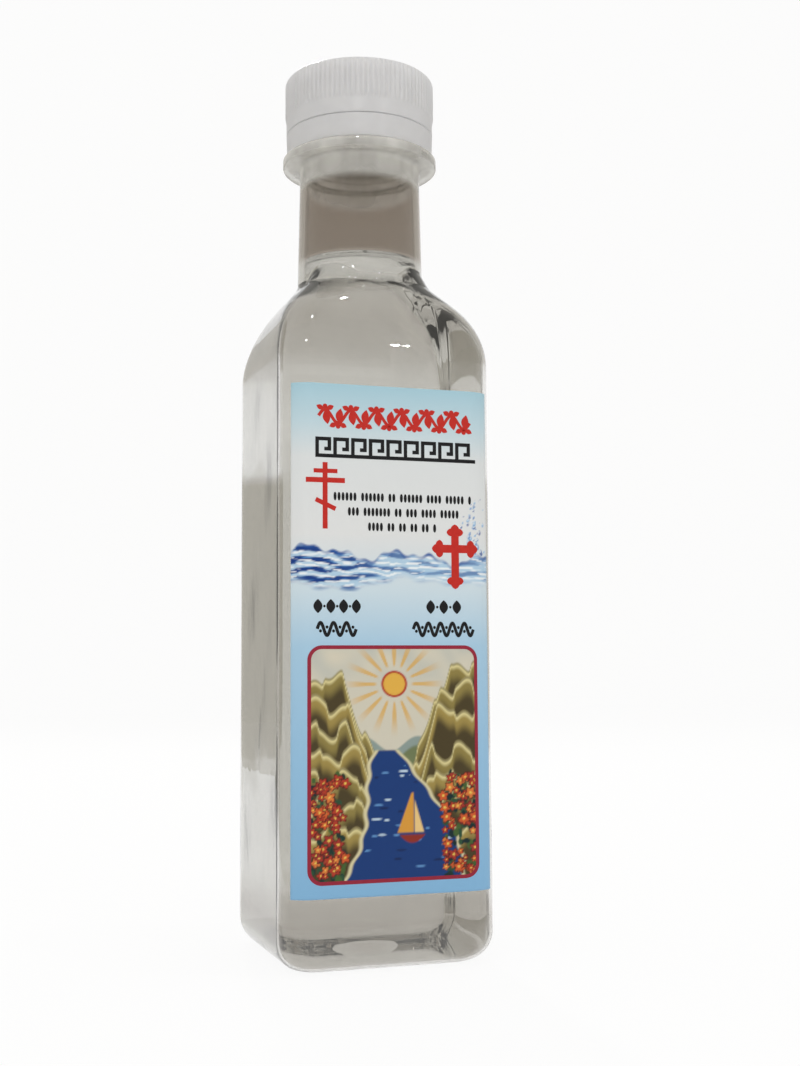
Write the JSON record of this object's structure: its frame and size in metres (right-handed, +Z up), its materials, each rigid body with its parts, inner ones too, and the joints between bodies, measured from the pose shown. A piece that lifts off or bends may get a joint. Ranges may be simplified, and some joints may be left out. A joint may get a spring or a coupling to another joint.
{
  "type": "bottle of water",
  "caption": "Clear square plastic bottle with a vaulted shoulder, screw cap on a threaded neck, tamper band, front label and a filling of water.",
  "frame": {"origin": "middle of the square standing face, on the surface the bottle stands on", "axes": "+Z up along the neck, the label faces -Y, +X to the right as one reads the label"},
  "size_m": [0.044, 0.0441, 0.1842],
  "materials": {
    "clear_pet": "blow-moulded, clear and glossy",
    "water": "clear liquid",
    "natural_pp": "injection-moulded, translucent white",
    "liner_foam": "white foam sheet",
    "label_paper": "printed, satin varnish"
  },
  "bodies": {
    "bottle": {"bottle": "clear_pet", "holy_water": "water", "front_label": "label_paper"},
    "liner": {"cap_liner": "liner_foam"},
    "cap": {"screw_cap": "natural_pp"},
    "band": {"tamper_band": "natural_pp"}
  },
  "joints": [
    {"name": "cap_lift", "type": "slide", "parent": "bottle", "child": "liner", "axis": [0, 0, 1], "range_m": [0, 0.01082]},
    {"name": "cap_turn", "type": "hinge", "parent": "liner", "child": "cap", "pos_m": [0, 0, 0.1822], "axis": [0, 0, 1], "range_deg": [0, 1440]},
    {"name": "band_turn", "type": "hinge", "parent": "bottle", "child": "band", "pos_m": [0, 0, 0.17], "axis": [0, 0, 1], "continuous": true}
  ],
  "couplings": [
    {"joint": "cap_lift", "follows": "cap_turn", "m_per_rad": 0.00042972}
  ]
}
